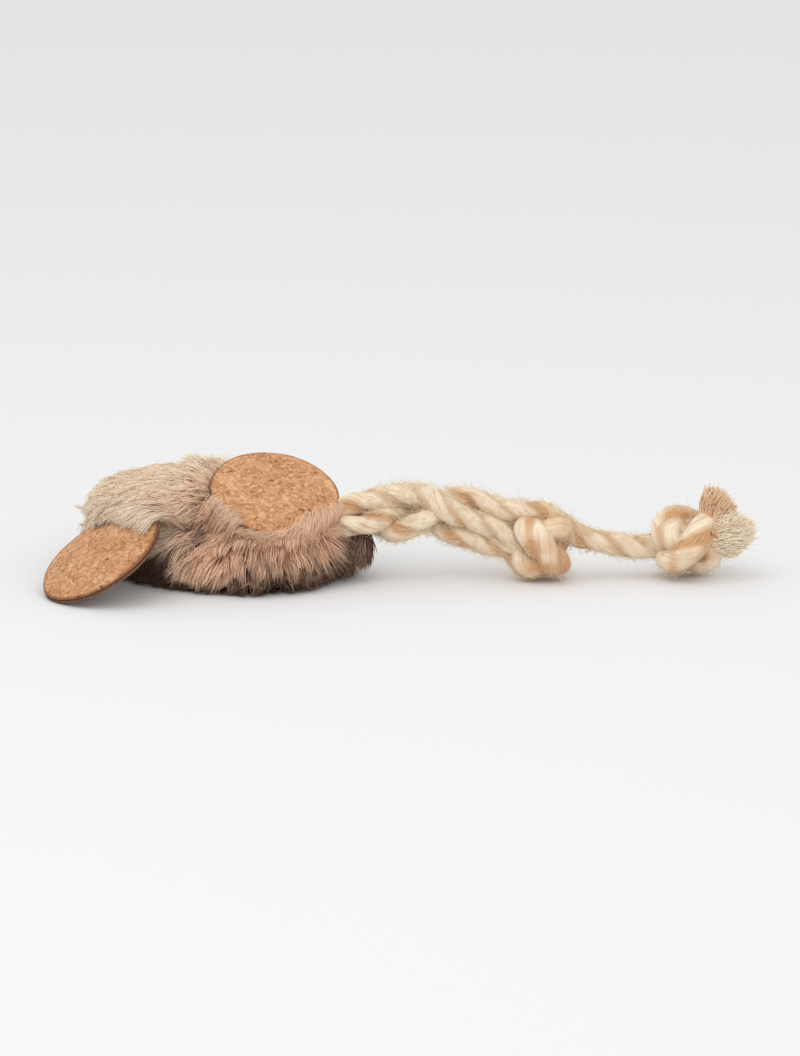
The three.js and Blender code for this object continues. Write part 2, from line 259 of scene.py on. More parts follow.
BODY_TURN = math.radians(-30)
NOSE_REACH, RUMP_REACH, GIRTH, BODY_HEIGHT = 46, 37, 60.5, 29.4
GIRTH_HEIGHT, SEAM_HEIGHT, BELLY_CUT = 10, 15, 0.5
SEAM_TUCK, SEAM_SPREAD = 2.3, 3
GROUND_INSET, BELLY_FULLNESS, BROW_FULLNESS = 4.0, 1.9, 1.2
GROUND_LOWEST = 0.8
SKIN_RINGS, SKIN_SIDES, SKIN_POLE = 44, 64, 0.04
SEAM_HOLD, BELLY_HOLD = 1.1, 1.2

# Powers of the rounded outlines: 2 is an ellipse, and more is blunter. The shoulders' round
# cross-section turns into the hips' between two places along the body.
NOSE_PLAN, RUMP_PLAN, NOSE_CROWN, RUMP_CROWN, KEEL = 1.9, 2.3, 2.1, 0.85, 3.5
SHOULDER_ROUND, HIP_ROUND, BELLY_ROUND = 2.45, 1.6, 2.6
SHOULDER_END, HIP_START = -12, 4


def smooth(value, low, high):
    """0 up to the low value and 1 from the high one, with an even curve between them."""
    step = np.clip((value - low) / (high - low), 0, 1)
    return step * step * (3 - 2 * step)


def body_points(along, around, inset):
    """Points of the stuffed form in mm, in the body's own frame with the nose to -X."""
    share = np.abs(along)
    nose = along < 0
    x = along * np.where(nose, NOSE_REACH - inset, RUMP_REACH - inset)
    level = GIRTH_HEIGHT + (SEAM_HEIGHT - GIRTH_HEIGHT) * share**2
    bulge = lambda power: np.maximum(1 - share**power, 0) ** (1 / power)
    crown = np.where(nose, bulge(NOSE_CROWN), 1 - share**RUMP_CROWN)
    width = (GIRTH / 2 - inset) * np.where(nose, bulge(NOSE_PLAN), bulge(RUMP_PLAN))
    rise = SEAM_HEIGHT - level + (BODY_HEIGHT - inset - SEAM_HEIGHT) * crown
    drop = (level + BELLY_CUT - inset) * bulge(KEEL)
    upper_round = SHOULDER_ROUND + (HIP_ROUND - SHOULDER_ROUND) * smooth(x, SHOULDER_END, HIP_START)
    side, climb = np.cos(around), np.sin(around)
    power = np.where(climb > 0, upper_round, BELLY_ROUND)
    height = np.where(climb > 0, rise, drop)
    y = width * np.sign(side) * np.abs(side) ** (2 / power)
    z = level + height * np.sign(climb) * np.abs(climb) ** (2 / power)
    tuck = SEAM_TUCK * np.exp(-(((z - SEAM_HEIGHT) / SEAM_SPREAD) ** 2))
    left = 1 - tuck / np.sqrt(x * x + y * y + SEAM_TUCK**2)
    return np.stack([x * left, y * left, z], -1)


def turned(points, angle):
    """Points turned about the upright axis."""
    c, s = math.cos(angle), math.sin(angle)
    x, y = points[..., 0], points[..., 1]
    return np.stack([c * x - s * y, s * x + c * y, points[..., 2]], -1)


def round_angles(sides):
    """Even angles all the way round."""
    return np.linspace(0, 2 * math.pi, sides, endpoint=False)


def ring_faces(rings, sides, start_cap=True, end_cap=True):
    """Quads between successive closed rings of points, and a face over each end that has a cap."""
    i, j = np.meshgrid(np.arange(rings - 1), np.arange(sides), indexing="ij")
    k = (j + 1) % sides
    quads = np.stack([i * sides + j, i * sides + k, (i + 1) * sides + k, (i + 1) * sides + j], -1)
    faces = quads.reshape(-1, 4).tolist()
    if start_cap:
        faces.append(list(range(sides))[::-1])
    if end_cap:
        faces.append([(rings - 1) * sides + j for j in range(sides)])
    return faces


def swell(piece, pinned, pressure, cap, frames):
    """Blows the cloth up in a simulation at twenty times its size, with the pinned points held."""
    grow = 20
    piece.data.transform(Matrix.Scale(grow, 4))
    start = np.array([v.co for v in piece.data.vertices])
    held = piece.vertex_groups.new(name="held")
    held.add(pinned, 1.0, "REPLACE")
    cloth = piece.modifiers.new("Cloth", "CLOTH")
    settings = cloth.settings
    settings.use_pressure = True
    settings.uniform_pressure_force = pressure
    settings.vertex_group_mass = "held"
    settings.effector_weights.gravity = 0
    settings.tension_stiffness = 25
    settings.compression_stiffness = 25
    settings.bending_stiffness = 0.6
    cloth.point_cache.frame_start, cloth.point_cache.frame_end = 1, frames
    for number in range(1, frames + 1):
        bpy.context.scene.frame_set(number)
    settle(piece)
    bpy.context.scene.frame_set(1)
    moved = np.array([v.co for v in piece.data.vertices]) - start
    length = np.linalg.norm(moved, axis=1, keepdims=True)
    limit = cap * grow
    kept = start + moved * np.where(length > limit, limit / np.maximum(length, 1e-9), 1)
    piece.data.vertices.foreach_set("co", kept.ravel())
    piece.data.transform(Matrix.Scale(1 / grow, 4))
    piece.data.update()


plush_cloth = Finish("plush_cloth", Roughness=1.0)
cloth_grain = plush_cloth.grain(plush_cloth.place(), 900.0, 3.0)
cloth_level = plush_cloth.node("SeparateXYZ", {}, {0: plush_cloth.place()}, output=2)
cloth_color = plush_cloth.mix(cloth_grain, tint(104, 74, 58), tint(160, 122, 98))
# Painted shade: the ground cloth darkens to near black below about 13 mm, under the body.
cloth_low_shade = plush_cloth.between(cloth_level, 0.003, 0.013)
cloth_color = plush_cloth.mix(cloth_low_shade, tint(48, 29, 21), cloth_color)
plush_cloth.feed(Base_Color=cloth_color, Normal=plush_cloth.bump(cloth_grain, 0.0004))

skin_along = -np.cos(np.linspace(SKIN_POLE, math.pi - SKIN_POLE, SKIN_RINGS))
skin_around = round_angles(SKIN_SIDES)
skin_belly = np.clip(-3 * np.sin(skin_around), 0, 1)[None, :]
skin_head = np.clip(0.3 - 2 * skin_along, 0, 1)[:, None]
skin_brow = np.clip(3 * np.sin(skin_around), 0, 1)[None, :] * skin_head
skin_inset = GROUND_INSET - BELLY_FULLNESS * skin_belly - BROW_FULLNESS * skin_brow
skin_grid = body_points(skin_along[:, None], skin_around[None, :], skin_inset)
skin_grid[..., 2] = np.maximum(skin_grid[..., 2], GROUND_LOWEST)
skin_points = turned(skin_grid, BODY_TURN).reshape(-1, 3) * MM
skin_faces = ring_faces(SKIN_RINGS, SKIN_SIDES)
skin = make_piece("plush_ground", skin_points, skin_faces, plush_cloth.material)
skin_height = skin_points[:, 2] / MM
seam_or_belly = (np.abs(skin_height - SEAM_HEIGHT) < SEAM_HOLD) | (skin_height < BELLY_HOLD)
swell(skin, np.flatnonzero(seam_or_belly).tolist(), pressure=5.0, cap=1.6 * MM, frames=16)
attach(skin, "body")
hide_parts("plush_upper", "plush_lower")


# Ears: round cork sheets glued on a dark cloth backing, each sewn to the body by a straight
# foot. The left one hangs to the floor, and the right one lies over the rump.

EAR_RADIUS, EAR_DOME, EAR_FOOT, EAR_FOOT_WIDTH = 18.25, 1.8, 1.3, 9
EAR_CHORD = math.sqrt(EAR_RADIUS**2 - (EAR_FOOT_WIDTH / 2) ** 2)
EAR_CENTRE = EAR_FOOT + EAR_CHORD
CORK_THICKNESS, BACKING_THICKNESS, EAR_THICKNESS = 0.8, 0.6, 1.7
BACKING_MARGIN = 0.1
LEFT_BEARING, RIGHT_BEARING = math.radians(209.8), math.radians(39.5)
RIGHT_RISE, RIGHT_ROLL = math.radians(10.8), math.radians(25.2)
FLOOR_CLEARANCE = 0.25
EAR_RINGS, EAR_SIDES = 26, 120
joints = {joint["name"]: joint for joint in frame["joints"]}


def ear_frame(side, bearing, rise, roll):
    """The ear's own axes at its hinge: X from the stitches to the tip, Z out of the cork."""
    turn = Matrix.Rotation(bearing, 4, "Z")
    turn = turn @ Matrix.Rotation(-rise, 4, "Y") @ Matrix.Rotation(roll, 4, "X")
    return Matrix.Translation(joints[side + "_ear_flap"]["pos_m"]) @ turn


left_hinge_height = joints["left_ear_flap"]["pos_m"][2] / MM
ear_reach = EAR_CENTRE + EAR_RADIUS
left_drop = (left_hinge_height - FLOOR_CLEARANCE) / math.hypot(ear_reach, EAR_THICKNESS / 2)
left_droop = math.asin(left_drop) - math.atan2(EAR_THICKNESS / 2, ear_reach)
ear_frames = {
    "left": ear_frame("left", LEFT_BEARING, -left_droop, 0),
    "right": ear_frame("right", RIGHT_BEARING, RIGHT_RISE, RIGHT_ROLL),
}


def ear_plate(low, thickness, radius, unevenness, seed):
    """A domed round plate with a straight foot and a softened edge, in mm in the ear's frame."""
    angle = round_angles(EAR_SIDES)
    outward = np.linspace(0.02, 1, EAR_RINGS)
    share = np.concatenate([outward, [1.012, 1.012], outward[::-1]])
    lift = np.concatenate([np.ones(EAR_RINGS), [0.7, 0.3], np.zeros(EAR_RINGS)])
    rim = radius * (1 + 0.006 * np.sin(3 * angle + seed) + 0.004 * np.sin(7 * angle + 2 * seed))
    rim = np.minimum(rim, EAR_CHORD / np.maximum(-np.cos(angle), 0.2))
    r = share[:, None] * rim[None, :]
    x, y = r * np.cos(angle), r * np.sin(angle)
    z = low + lift[:, None] * thickness + EAR_DOME * (1 - (np.minimum(r, radius) / radius) ** 2)
    flat = zip(x.ravel() / 5, y.ravel() / 5)
    uneven = np.reshape([noise.noise(Vector((a, b, seed))) for a, b in flat], x.shape)
    points = np.stack([x + EAR_CENTRE, y, z + unevenness * uneven], -1)
    return points.reshape(-1, 3), [face[::-1] for face in ring_faces(len(share), EAR_SIDES)]


cork = Finish("pressed_cork", Roughness=0.8, Specular_IOR_Level=0.25)
flat_place = cork.vector("sheet_place")
granules = cork.node("TexVoronoi", {}, {"Vector": flat_place, "Scale": 1050.0}, output=1)
granule_tone = cork.node("SeparateColor", {}, {0: granules})
fine = cork.grain(flat_place, 1400.0, 4.0)
broad = cork.grain(flat_place, 130.0, 2.0)
tone = 0.30 * granule_tone + 0.50 * fine + 0.38 * broad
ramp_stops = [
    (0.36, tint(154, 102, 64)),
    (0.50, tint(188, 134, 92)),
    (0.64, tint(204, 152, 110)),
    (0.80, tint(222, 180, 138)),
]
cork_color = cork.node("ValToRGB", {"stops": ramp_stops}, {0: tone})
speck_field = cork.grain(flat_place, 420.0, 1.0)
specks = cork.between(speck_field, 0.70, 0.76)
cork_color = cork.mix(specks * 0.75, cork_color, tint(96, 58, 36))
edge = cork.mask("edge")
cork_color = cork.mix(edge * 0.8, cork_color, tint(120, 72, 44))
cork.feed(Base_Color=cork_color, Normal=cork.bump(tone - 0.6 * specks, 0.00035))

backing = Finish("ear_backing", Roughness=0.95)
backing_weave = backing.weave(backing.vector("sheet_place"), 500.0)
backing_color = backing.mix(backing_weave, tint(104, 70, 50), tint(150, 108, 80))
backing.feed(Base_Color=backing_color, Normal=backing.bump(backing_weave, 0.0002))

cork_low = EAR_THICKNESS / 2 - CORK_THICKNESS
for number, (side, place) in enumerate(ear_frames.items()):
    for layer, low, thickness, margin, uneven, finish in (
        ("cork", cork_low, CORK_THICKNESS, -BACKING_MARGIN, 0.12, cork),
        ("backing", -EAR_THICKNESS / 2, BACKING_THICKNESS, BACKING_MARGIN, 0.05, backing),
    ):
        radius = EAR_RADIUS + margin
        points, faces = ear_plate(low, thickness, radius, uneven, number + 1.3)
        reach = np.hypot(points[:, 0] - EAR_CENTRE, points[:, 1]) / radius
        flat = points * np.array([1, 1, 0]) * MM + np.array([0.3 * number, 0, 0])
        edge_mask = np.clip((reach - 0.985) / 0.02, 0, 1)
        masks = {"sheet_place": flat, "edge": edge_mask}
        plate = make_piece(f"{side}_{layer}", points * MM, faces, finish.material, **masks)
        plate.data.transform(place)
        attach(plate, f"{side}_ear")
        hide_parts(f"{side}_ear_{layer}")


# Fur: the long soft pile of the plush, tied into the ground cloth. It falls in locks away
# from the crown of the back, beige on the head and mauve-brown low down, where painted shade
# darkens it, and laps over the ears' sewn feet and the near edge of the right ear.

FUR_COUNT, FUR_STATIONS = 44000, 5
CLOTH_AREA, LOCK_SPACING = 9500, 2.2
PILE_LENGTH, HAIR_WIDTH, HAIR_TIP = 9.0, 0.29, 0.08
LOWEST_ROOT, LOWEST_HAIR = 0.9, 0.35
CREASE = np.array([[-18.0, -27.5, 16.5], [-3.0, -22.0, 20.8]])
WHORL = np.array([9.0, -10.0, 24.0])
chance = np.random.default_rng(7)


def unit(vectors):
    return vectors / np.maximum(np.linalg.norm(vectors, axis=-1, keepdims=True), 1e-12)


def scatter(piece, count):
    """Even random points on a piece, in mm, and the smooth normals there."""
    mesh = piece.data
    mesh.calc_loop_triangles()
    corners = np.array([triangle.vertices for triangle in mesh.loop_triangles])
    points = np.array([vertex.co for vertex in mesh.vertices]) / MM
    normals = np.array([vertex.normal for vertex in mesh.vertices])
    a, b, c = (points[corners[:, k]] for k in range(3))
    area = np.linalg.norm(np.cross(b - a, c - a), axis=1)
    chosen = corners[chance.choice(len(corners), count, p=area / area.sum())]
    shares = chance.dirichlet((1, 1, 1), count)[..., None]
    return np.sum(points[chosen] * shares, axis=1), unit(np.sum(normals[chosen] * shares, axis=1))


def lay_of(points, normals):
    """The direction in which the pile lies: away from the whorl and down."""
    flow = points - WHORL
    flow[:, 2] *= 0.4
    flow = unit(flow) + np.array([0, 0, -0.25])
    flow -= normals * np.sum(flow * normals, axis=1, keepdims=True)
    return unit(flow)


def fall(points, normals, lay, length, lift):
    """Where a hair runs from its root: up out of the cloth, then over along the lay."""
    steps = np.linspace(0, 1, FUR_STATIONS)
    path = [points]
    for share in steps[:-1]:
        angle = lift * (1 - share) ** 1.2 + 0.10
        heading = normals * np.sin(angle) + lay * np.cos(angle)
        heading = unit(heading + np.array([0, 0, -0.45]) * share)
        path.append(path[-1] + heading * length / (FUR_STATIONS - 1))
    return np.stack(path, 1)


def from_crease(points):
    """Distance from the parting between the ears' feet."""
    start, run = CREASE[0], CREASE[1] - CREASE[0]
    share = np.clip((points - start) @ run / (run @ run), 0, 1)
    return np.linalg.norm(points - start - share[..., None] * run, axis=-1)


def from_ear(points, side, back=False):
    """Points in mm out of an ear's own frame, or back into it."""
    place = np.array(ear_frames[side].inverted() if back else ear_frames[side])
    return (points * MM @ place[:3, :3].T + place[:3, 3]) / MM


def clear_of_ear(paths, side):
    """Keeps hairs out of an ear: those from above its foot end on its face, others stay behind it."""
    local = from_ear(paths, side, back=True)
    away = np.hypot(local[..., 0] - EAR_CENTRE, local[..., 1])
    dome = EAR_DOME * np.maximum(1 - (away / EAR_RADIUS) ** 2, 0)
    above = (local[:, :1, 0] < 0.5) & (local[:, :1, 2] > -5)
    inside = (away < EAR_RADIUS + 0.6) & (local[..., 0] > 0.3)
    back = dome - EAR_THICKNESS / 2 - chance.uniform(0.3, 2.0, (len(paths), 1))
    face = dome + EAR_THICKNESS / 2 + chance.uniform(0.1, 0.9, (len(paths), 1))
    pressed = np.where(above, np.maximum(local[..., 2], face), np.minimum(local[..., 2], back))
    local[..., 2] = np.where(inside, pressed, local[..., 2])
    stop = chance.uniform(1.5, 4.5, (len(paths), 1))
    over = above & inside & (local[..., 0] > stop)
    local[..., 0] = np.where(over, stop + 0.2 * (local[..., 0] - stop), local[..., 0])
    return from_ear(local, side)


def tufts(starts, bends, ends, hairs, spread):
    """Locks of hair that curve from the cloth nearest to each start, past its bend, to its end."""
    starts = np.array([lock_roots[lock_tree.find(point)[1]] for point in starts])
    drawn = []
    for points, loose in ((starts, 1.0), (bends, 0.6), (ends, 0.8)):
        points = np.repeat(points, hairs, axis=0)
        drawn.append((points + chance.normal(0, spread * loose, points.shape))[:, None])
    step = np.linspace(0, 1, FUR_STATIONS)[None, :, None]
    return drawn[0] * (1 - step) ** 2 + drawn[1] * 2 * step * (1 - step) + drawn[2] * step**2


def spokes(right, up, angle):
    """Directions at angles round a line, from two that are square to it."""
    return right * np.cos(angle)[..., None] + up * np.sin(angle)[..., None]


def fibre_mesh(paths, widths, name, material, order, **masks):
    """Three-sided tapering hairs along paths in mm, with a bake map of one small cell a hair."""
    count, stations = paths.shape[:2]
    ahead = unit(np.gradient(paths, axis=1))
    across = unit(np.cross(ahead, unit(chance.normal(size=(count, 1, 3)))))
    beside = np.cross(ahead, across)
    ring = spokes(across[:, :, None], beside[:, :, None], np.arange(3) * 2 * math.pi / 3)
    points = paths[:, :, None] + ring * (widths / 2)[..., None, None]
    i, j, k = np.meshgrid(np.arange(count), np.arange(stations - 1), np.arange(3), indexing="ij")
    corner = lambda jj, kk: (i * stations + jj) * 3 + kk % 3
    faces = np.stack([corner(j, k), corner(j, k + 1), corner(j + 1, k + 1), corner(j + 1, k)], -1)
    spread = {key: np.repeat(np.broadcast_to(v, (count, stations)), 3) for key, v in masks.items()}
    piece = make_piece(name, points.reshape(-1, 3) * MM, faces.reshape(-1, 4), material, **spread)
    cells = math.ceil(math.sqrt(count))
    rank = np.empty(count, int)
    by_row = np.argsort(order[:, 0])
    for row in range(cells):
        members = by_row[row * cells : (row + 1) * cells]
        rank[members[np.argsort(order[members, 1])]] = row * cells + np.arange(len(members))
    margin, side_width, height = 0.08, 0.28, 0.84
    u = ((rank % cells)[:, None, None] + (margin + side_width * k)) / cells
    v = ((rank // cells)[:, None, None] + margin + height * j / (stations - 1)) / cells
    du, dv = side_width / cells, height / (stations - 1) / cells
    loops = np.stack([u, v, u + du, v, u + du, v + dv, u, v + dv], -1)
    piece.data.uv_layers.new(name="OFBake").data.foreach_set("uv", loops.astype(np.float32).ravel())
    return piece


# No hair grows on the flat that the belly lies on.
roots, normals = scatter(skin, FUR_COUNT)
kept = (normals[:, 2] > -0.97) & (roots[:, 2] > LOWEST_ROOT)
roots, normals = roots[kept], normals[kept]
lock_count = int(CLOTH_AREA / LOCK_SPACING**2)
lock_roots, lock_normals = scatter(skin, lock_count)
lock_tree = kdtree.KDTree(lock_count)
for index, point in enumerate(lock_roots):
    lock_tree.insert(point, index)
lock_tree.balance()
lock = np.array([lock_tree.find(point)[1] for point in roots])

# How each lock lies: ruffled by the parting between the ears, neat and long on the rump, and
# short and flat at the nose, on the brow and low down.
lock_lay = lay_of(lock_roots, lock_normals)
tangled = 1 - smooth(from_crease(lock_roots), 3.0, 12.0)[:, None]
neat = smooth(lock_roots[:, :1], 20, 30)
swerve = chance.normal(0, 0.36, (lock_count, 1)) * (1 + 1.2 * tangled) * (1 - 0.5 * neat)
lock_lay = unit(lock_lay + swerve * np.cross(lock_normals, lock_lay))
at_nose = 1 - smooth(turned(lock_roots, -BODY_TURN)[:, :1], -36, -26)
low_down = 1 - smooth(lock_roots[:, 2:], 3, 14)
brow = smooth(lock_roots[:, 2:], 12, 18) * (1 - smooth(lock_roots[:, :1], -13, -1)) * (1 - 0.6 * at_nose)
crest = smooth(lock_roots[:, 2:], 18, 22) * smooth(lock_roots[:, :1], -4, 3)
lock_length = PILE_LENGTH * (0.97 + chance.uniform(-0.22, 0.22, (lock_count, 1)) * (1 - 0.6 * neat))
lock_length *= 0.35 + 0.65 * smooth(from_crease(lock_roots), 2.0, 8.0)[:, None]
lock_length *= (1 - 0.25 * low_down) * (1 - 0.25 * at_nose) * (1 + 0.3 * neat)
lock_length *= 1 - 0.2 * brow
lock_lift = chance.uniform(0.40, 0.80, (lock_count, 1)) * (1 - 0.5 * low_down) * (1 - 0.5 * at_nose)
lock_lift *= (1 - 0.75 * brow) * (1 + 0.15 * crest)
lock_lift += 0.8 * (1 - smooth(lock_normals[:, 2:], -0.6, -0.1))
lock_paths = fall(lock_roots, lock_normals, lock_lay, lock_length, lock_lift)

# Each hair starts out in its own way, and its tip is gathered in towards its lock's.
own_lay = unit(lay_of(roots, normals) + 0.7 * lock_lay[lock] + chance.normal(0, 0.18, roots.shape))
own_length = lock_length[lock] * chance.uniform(0.8, 1.1, (len(roots), 1))
own_lift = lock_lift[lock] + chance.normal(0, 0.1, (len(roots), 1))
paths = fall(roots, normals, own_lay, own_length, own_lift)
share = np.linspace(0, 1, FUR_STATIONS)
gather = (0.62 * share**1.3)[None, :, None] * chance.uniform(0.4, 1.2, (len(roots), 1, 1))
gather = gather * (1 - 0.6 * neat[lock])[..., None]
held = chance.random((len(roots), 1, 1)) > 0.15
offset = (roots - lock_roots[lock])[:, None] * 0.22
paths = paths + (lock_paths[lock] + offset - paths) * gather * held
wave = np.sin(share * 5 + chance.uniform(0, 2 * math.pi, lock_count)[lock][:, None])
bow = (0.55 + 0.7 * tangled[lock]) * wave * share
paths = paths + np.cross(own_lay, normals)[:, None] * bow[..., None]
for side in ear_frames:
    paths = clear_of_ear(paths, side)

# How pale each hair is along its length, and how beige, by where it lies. Besides each lock's
# own tone, the paleness carries painted shade: darker low down, towards the rump's end, along
# the parting between the ears, and low on the head's near side under the left ear. Painted light
# makes the head paler higher up.
x, y, z = np.moveaxis(paths, -1, 0)
headward = 1 - smooth(x - 0.5 * y, -14, 8)
near_locks = smooth(x, -17, -13) * (1 - smooth(x, -2, 6)) * (1 - smooth(y, -27, -20))
pale = 0.10 + 0.90 * smooth(z, 1.0, 13) + 0.8 * near_locks * smooth(z, 1, 4) * (1 - smooth(z, 10, 13))
pale = pale * (1 - 0.85 * smooth(x, 30, 38)) + 0.35 * headward * smooth(z, 5, 12)
pale -= 0.7 * (1 - smooth(from_crease(paths), 1.0, 8.5))
pale -= 0.6 * (1 - smooth(z, 7, 16)) * (1 - smooth(x, -19, -12)) * (1 - smooth(y, -18, -6))
lock_tone = chance.normal(0, 0.17, lock_count) * (1 + 1.6 * tangled[:, 0])
pale += (lock_tone[lock] + chance.normal(0, 0.13, len(roots)))[:, None]

# The tufts that lap over the ears, and the hairs over the tail's binding: each as its hairs,
# how pale they are and whether they have the head's beige.
ear_middle = np.array([EAR_CENTRE, 0, 0])


def rim_tufts(side, first, last, locks, cover, sweep):
    """Tufts from beside an ear's rim, between two angles round it, that lap over its face."""
    step = np.linspace(0, 1, locks)
    angle = np.radians(first + (last - first) * step)
    out = np.stack([np.cos(angle), np.sin(angle), 0 * angle], 1)
    along = turned(out, math.pi / 2)
    lap = np.interp(step, np.linspace(0, 1, len(cover)), cover)[:, None]
    arch = np.clip(1.6 + 0.5 * lap, 0.5, 3.0)
    reach = EAR_RADIUS - lap
    face = EAR_DOME * (1 - (reach / EAR_RADIUS) ** 2) + EAR_THICKNESS / 2
    return tufts(
        from_ear(ear_middle + out * (EAR_RADIUS + 2.5) + [0, 0, -5], side),
        from_ear(ear_middle + out * (EAR_RADIUS + 1.6) + arch * [0, 0, 1], side),
        from_ear(ear_middle + out * reach + along * sweep + (face + 0.8) * [0, 0, 1], side),
        hairs=45,
        spread=0.9,
    )


left_rim = rim_tufts("left", first=184, last=246, locks=18, cover=(8.0, 4.0), sweep=-1.5)
right_lap = (-2.5, -2.0, -1.0, 1.5, 4.0, 4.5, 3.5, 2.0, -0.5)
right_rim = rim_tufts("right", first=195, last=299, locks=28, cover=right_lap, sweep=4)
foot_row = np.linspace(-5.5, 5.5, 12)[:, None] * [0, 1, 0]
foot_tufts = {}
for side, lap, fan, rise in (("left", 8.0, 1.9, 2.9), ("right", 1.6, 1.1, 2.0)):
    foot_tufts[side] = tufts(
        from_ear(foot_row + [-4, 0, -4], side),
        from_ear(foot_row + [-1.5, 0, 4.2], side),
        from_ear(foot_row * fan + [lap, 0, rise], side),
        hairs=36,
        spread=0.95,
    )
root_place = np.array(joints["tail_swing"]["pos_m"]) / MM
root_radius = 4.6


def root_hairs(first, last, low, high, count):
    """Hairs between two angles round the tail's binding and two heights on it, that fall over it."""
    angle = np.radians(chance.uniform(first, last, count))[:, None]
    out = np.hstack([np.cos(angle), np.sin(angle), 0 * angle])
    start = root_place + out * root_radius + chance.uniform(low, high, (count, 1)) * [0, 0, 1]
    lay = unit(np.array([-0.45, 0, -1]) + chance.normal(0, 0.22, (count, 3)))
    return fall(start, out, lay, chance.uniform(4, 6.5, (count, 1)), 0.35)


for drawn, tone, beige in (
    (left_rim, 0.95, 1),
    (right_rim, 0.95, 0.2),
    (foot_tufts["left"], 0.95, 1),
    (foot_tufts["right"], 0.9, 0.3),
    # Painted shade: the low hairs round the binding are dark, under the rump's end.
    (root_hairs(-165, 20, -6.5, -0.5, 1300), 0.14, 0),
    (root_hairs(60, 195, -1.0, 4.4, 700), 0.65, 0.3),
):
    paths = np.vstack([paths, drawn])
    roots = np.vstack([roots, drawn[:, 0]])
    pale = np.vstack([pale, chance.normal(tone, 0.13, (len(drawn), 1)) + 0 * share])
    headward = np.vstack([headward, np.full((len(drawn), FUR_STATIONS), beige)])
paths[..., 2] = np.maximum(paths[..., 2], LOWEST_HAIR)
pale = np.clip(pale, 0, 1)

fur = Finish("plush_pile", Roughness=0.75, Sheen_Weight=0.1, Specular_IOR_Level=0.2)
tip_mask, pale_with_shade_mask, head_mask = fur.mask("tip"), fur.mask("pale"), fur.mask("head")
low_tip = fur.mix(pale_with_shade_mask, tint(84, 50, 38), tint(255, 215, 181))
head_tip = fur.mix(pale_with_shade_mask, tint(96, 64, 48), tint(255, 236, 211))
tip_color = fur.mix(head_mask, low_tip, head_tip)
low_root = fur.mix(pale_with_shade_mask, tint(40, 23, 17), tint(208, 150, 118))
head_root = fur.mix(pale_with_shade_mask, tint(58, 38, 28), tint(238, 204, 174))
root_color = fur.mix(head_mask, low_root, head_root)
# Hairs darken from tip to root, partly as painted shade deep in the pile; the pale mask also carries
# painted shade and light.
fur.feed(Base_Color=fur.mix(fur.between(tip_mask, 0.1, 0.75), root_color, tip_color))

hair_widths = HAIR_WIDTH + (HAIR_TIP - HAIR_WIDTH) * share**1.5
nose_side = turned(roots, -BODY_TURN)
by_length = np.array_split(np.argsort(nose_side[:, 0]), 6)
for name, chosen in zip(("nose", "head", "neck", "middle", "back", "rump"), by_length):
    hairs = fibre_mesh(
        paths[chosen],
        np.broadcast_to(hair_widths, paths[chosen].shape[:2]),
        "fur_" + name,
        fur.material,
        np.stack([nose_side[chosen, 0], np.arctan2(roots[chosen, 2] - 12, nose_side[chosen, 1])], 1),
        tip=share[None, :],
        pale=pale[chosen],
        head=headward[chosen],
    )
    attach(hairs, "body")


# Threads: the machine seam round the panels, the hand-sewn closing, and the whipped
# stitches that hold each ear's foot and the root of the tail.

TACK_RADIUS, TACK_THREAD = 1.0, 0.75
BINDING_RADIUS, BINDING_THREAD = 5.0, 1.1
TURN_STEPS, THREAD_SIDES = 18, 7

sewing = Finish("sewing_thread", Roughness=0.85)
twist = sewing.wave(sewing.place(), 1400.0, "DIAGONAL")
sewing_color = sewing.mix(twist, tint(66, 44, 38), tint(112, 82, 70))
sewing.feed(Base_Color=sewing_color, Normal=sewing.bump(twist, 0.0002))
for node in ("seam_thread", "closing_thread"):
    frame["nodes"][node].data.materials.clear()
    frame["nodes"][node].data.materials.append(sewing.material)


def frames_along(path):
    """Tangents and two normals that don't twist along a path."""
    ahead = unit(np.gradient(path, axis=0))
    aside = [0, 0, 1] if abs(ahead[0][2]) < 0.9 else [0, 1, 0]
    normals = [unit(np.cross(ahead[0], aside))]
    for tangent in ahead[1:]:
        last = normals[-1]
        normals.append(unit(last - tangent * np.dot(last, tangent)))
    normals = np.array(normals)
    return ahead, normals, np.cross(ahead, normals)


def whipping(name, node, centre, axis, radius, length, thread):
    """Close turns of thread wound round an axis, in mm."""
    turns = length / thread
    angle = np.linspace(0, 2 * math.pi * turns, int(turns * TURN_STEPS) + 1)
    axis = unit(np.array(axis, float))
    right = unit(np.cross(axis, [0.3, 0.5, 0.8]))
    up = np.cross(axis, right)
    along = np.linspace(-length / 2 + thread / 2, length / 2 - thread / 2, len(angle))
    path = centre + axis * along[:, None] + (radius - thread / 2) * spokes(right, up, angle)
    _, right, up = frames_along(path)
    ring = spokes(right[:, None], up[:, None], round_angles(THREAD_SIDES))
    points = path[:, None] + ring * (thread * 0.52)
    faces = ring_faces(len(path), THREAD_SIDES)
    piece = make_piece(name, points.reshape(-1, 3) * MM, faces, sewing.material)
    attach(piece, "body")
    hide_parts(node)


for side in ear_frames:
    joint = joints[side + "_ear_flap"]
    centre = np.array(joint["pos_m"]) / MM
    names = f"{side}_ear_stitches", f"{side}_ear_tack"
    whipping(*names, centre, joint["axis"], TACK_RADIUS, EAR_FOOT_WIDTH, TACK_THREAD)
binding_low, binding_high = (np.array(corner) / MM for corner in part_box("tail_binding"))
binding_centre = (binding_low + binding_high) / 2
binding_height = binding_high[2] - binding_low[2]
names = "tail_whipping", "tail_binding"
whipping(*names, binding_centre, (0, 0, 1), BINDING_RADIUS, binding_height, BINDING_THREAD)


# Tail strands: three soft strands of two-ply roving, loosely plaited from the root to the
# middle knot. One of them goes on through that knot to the end of the tail.

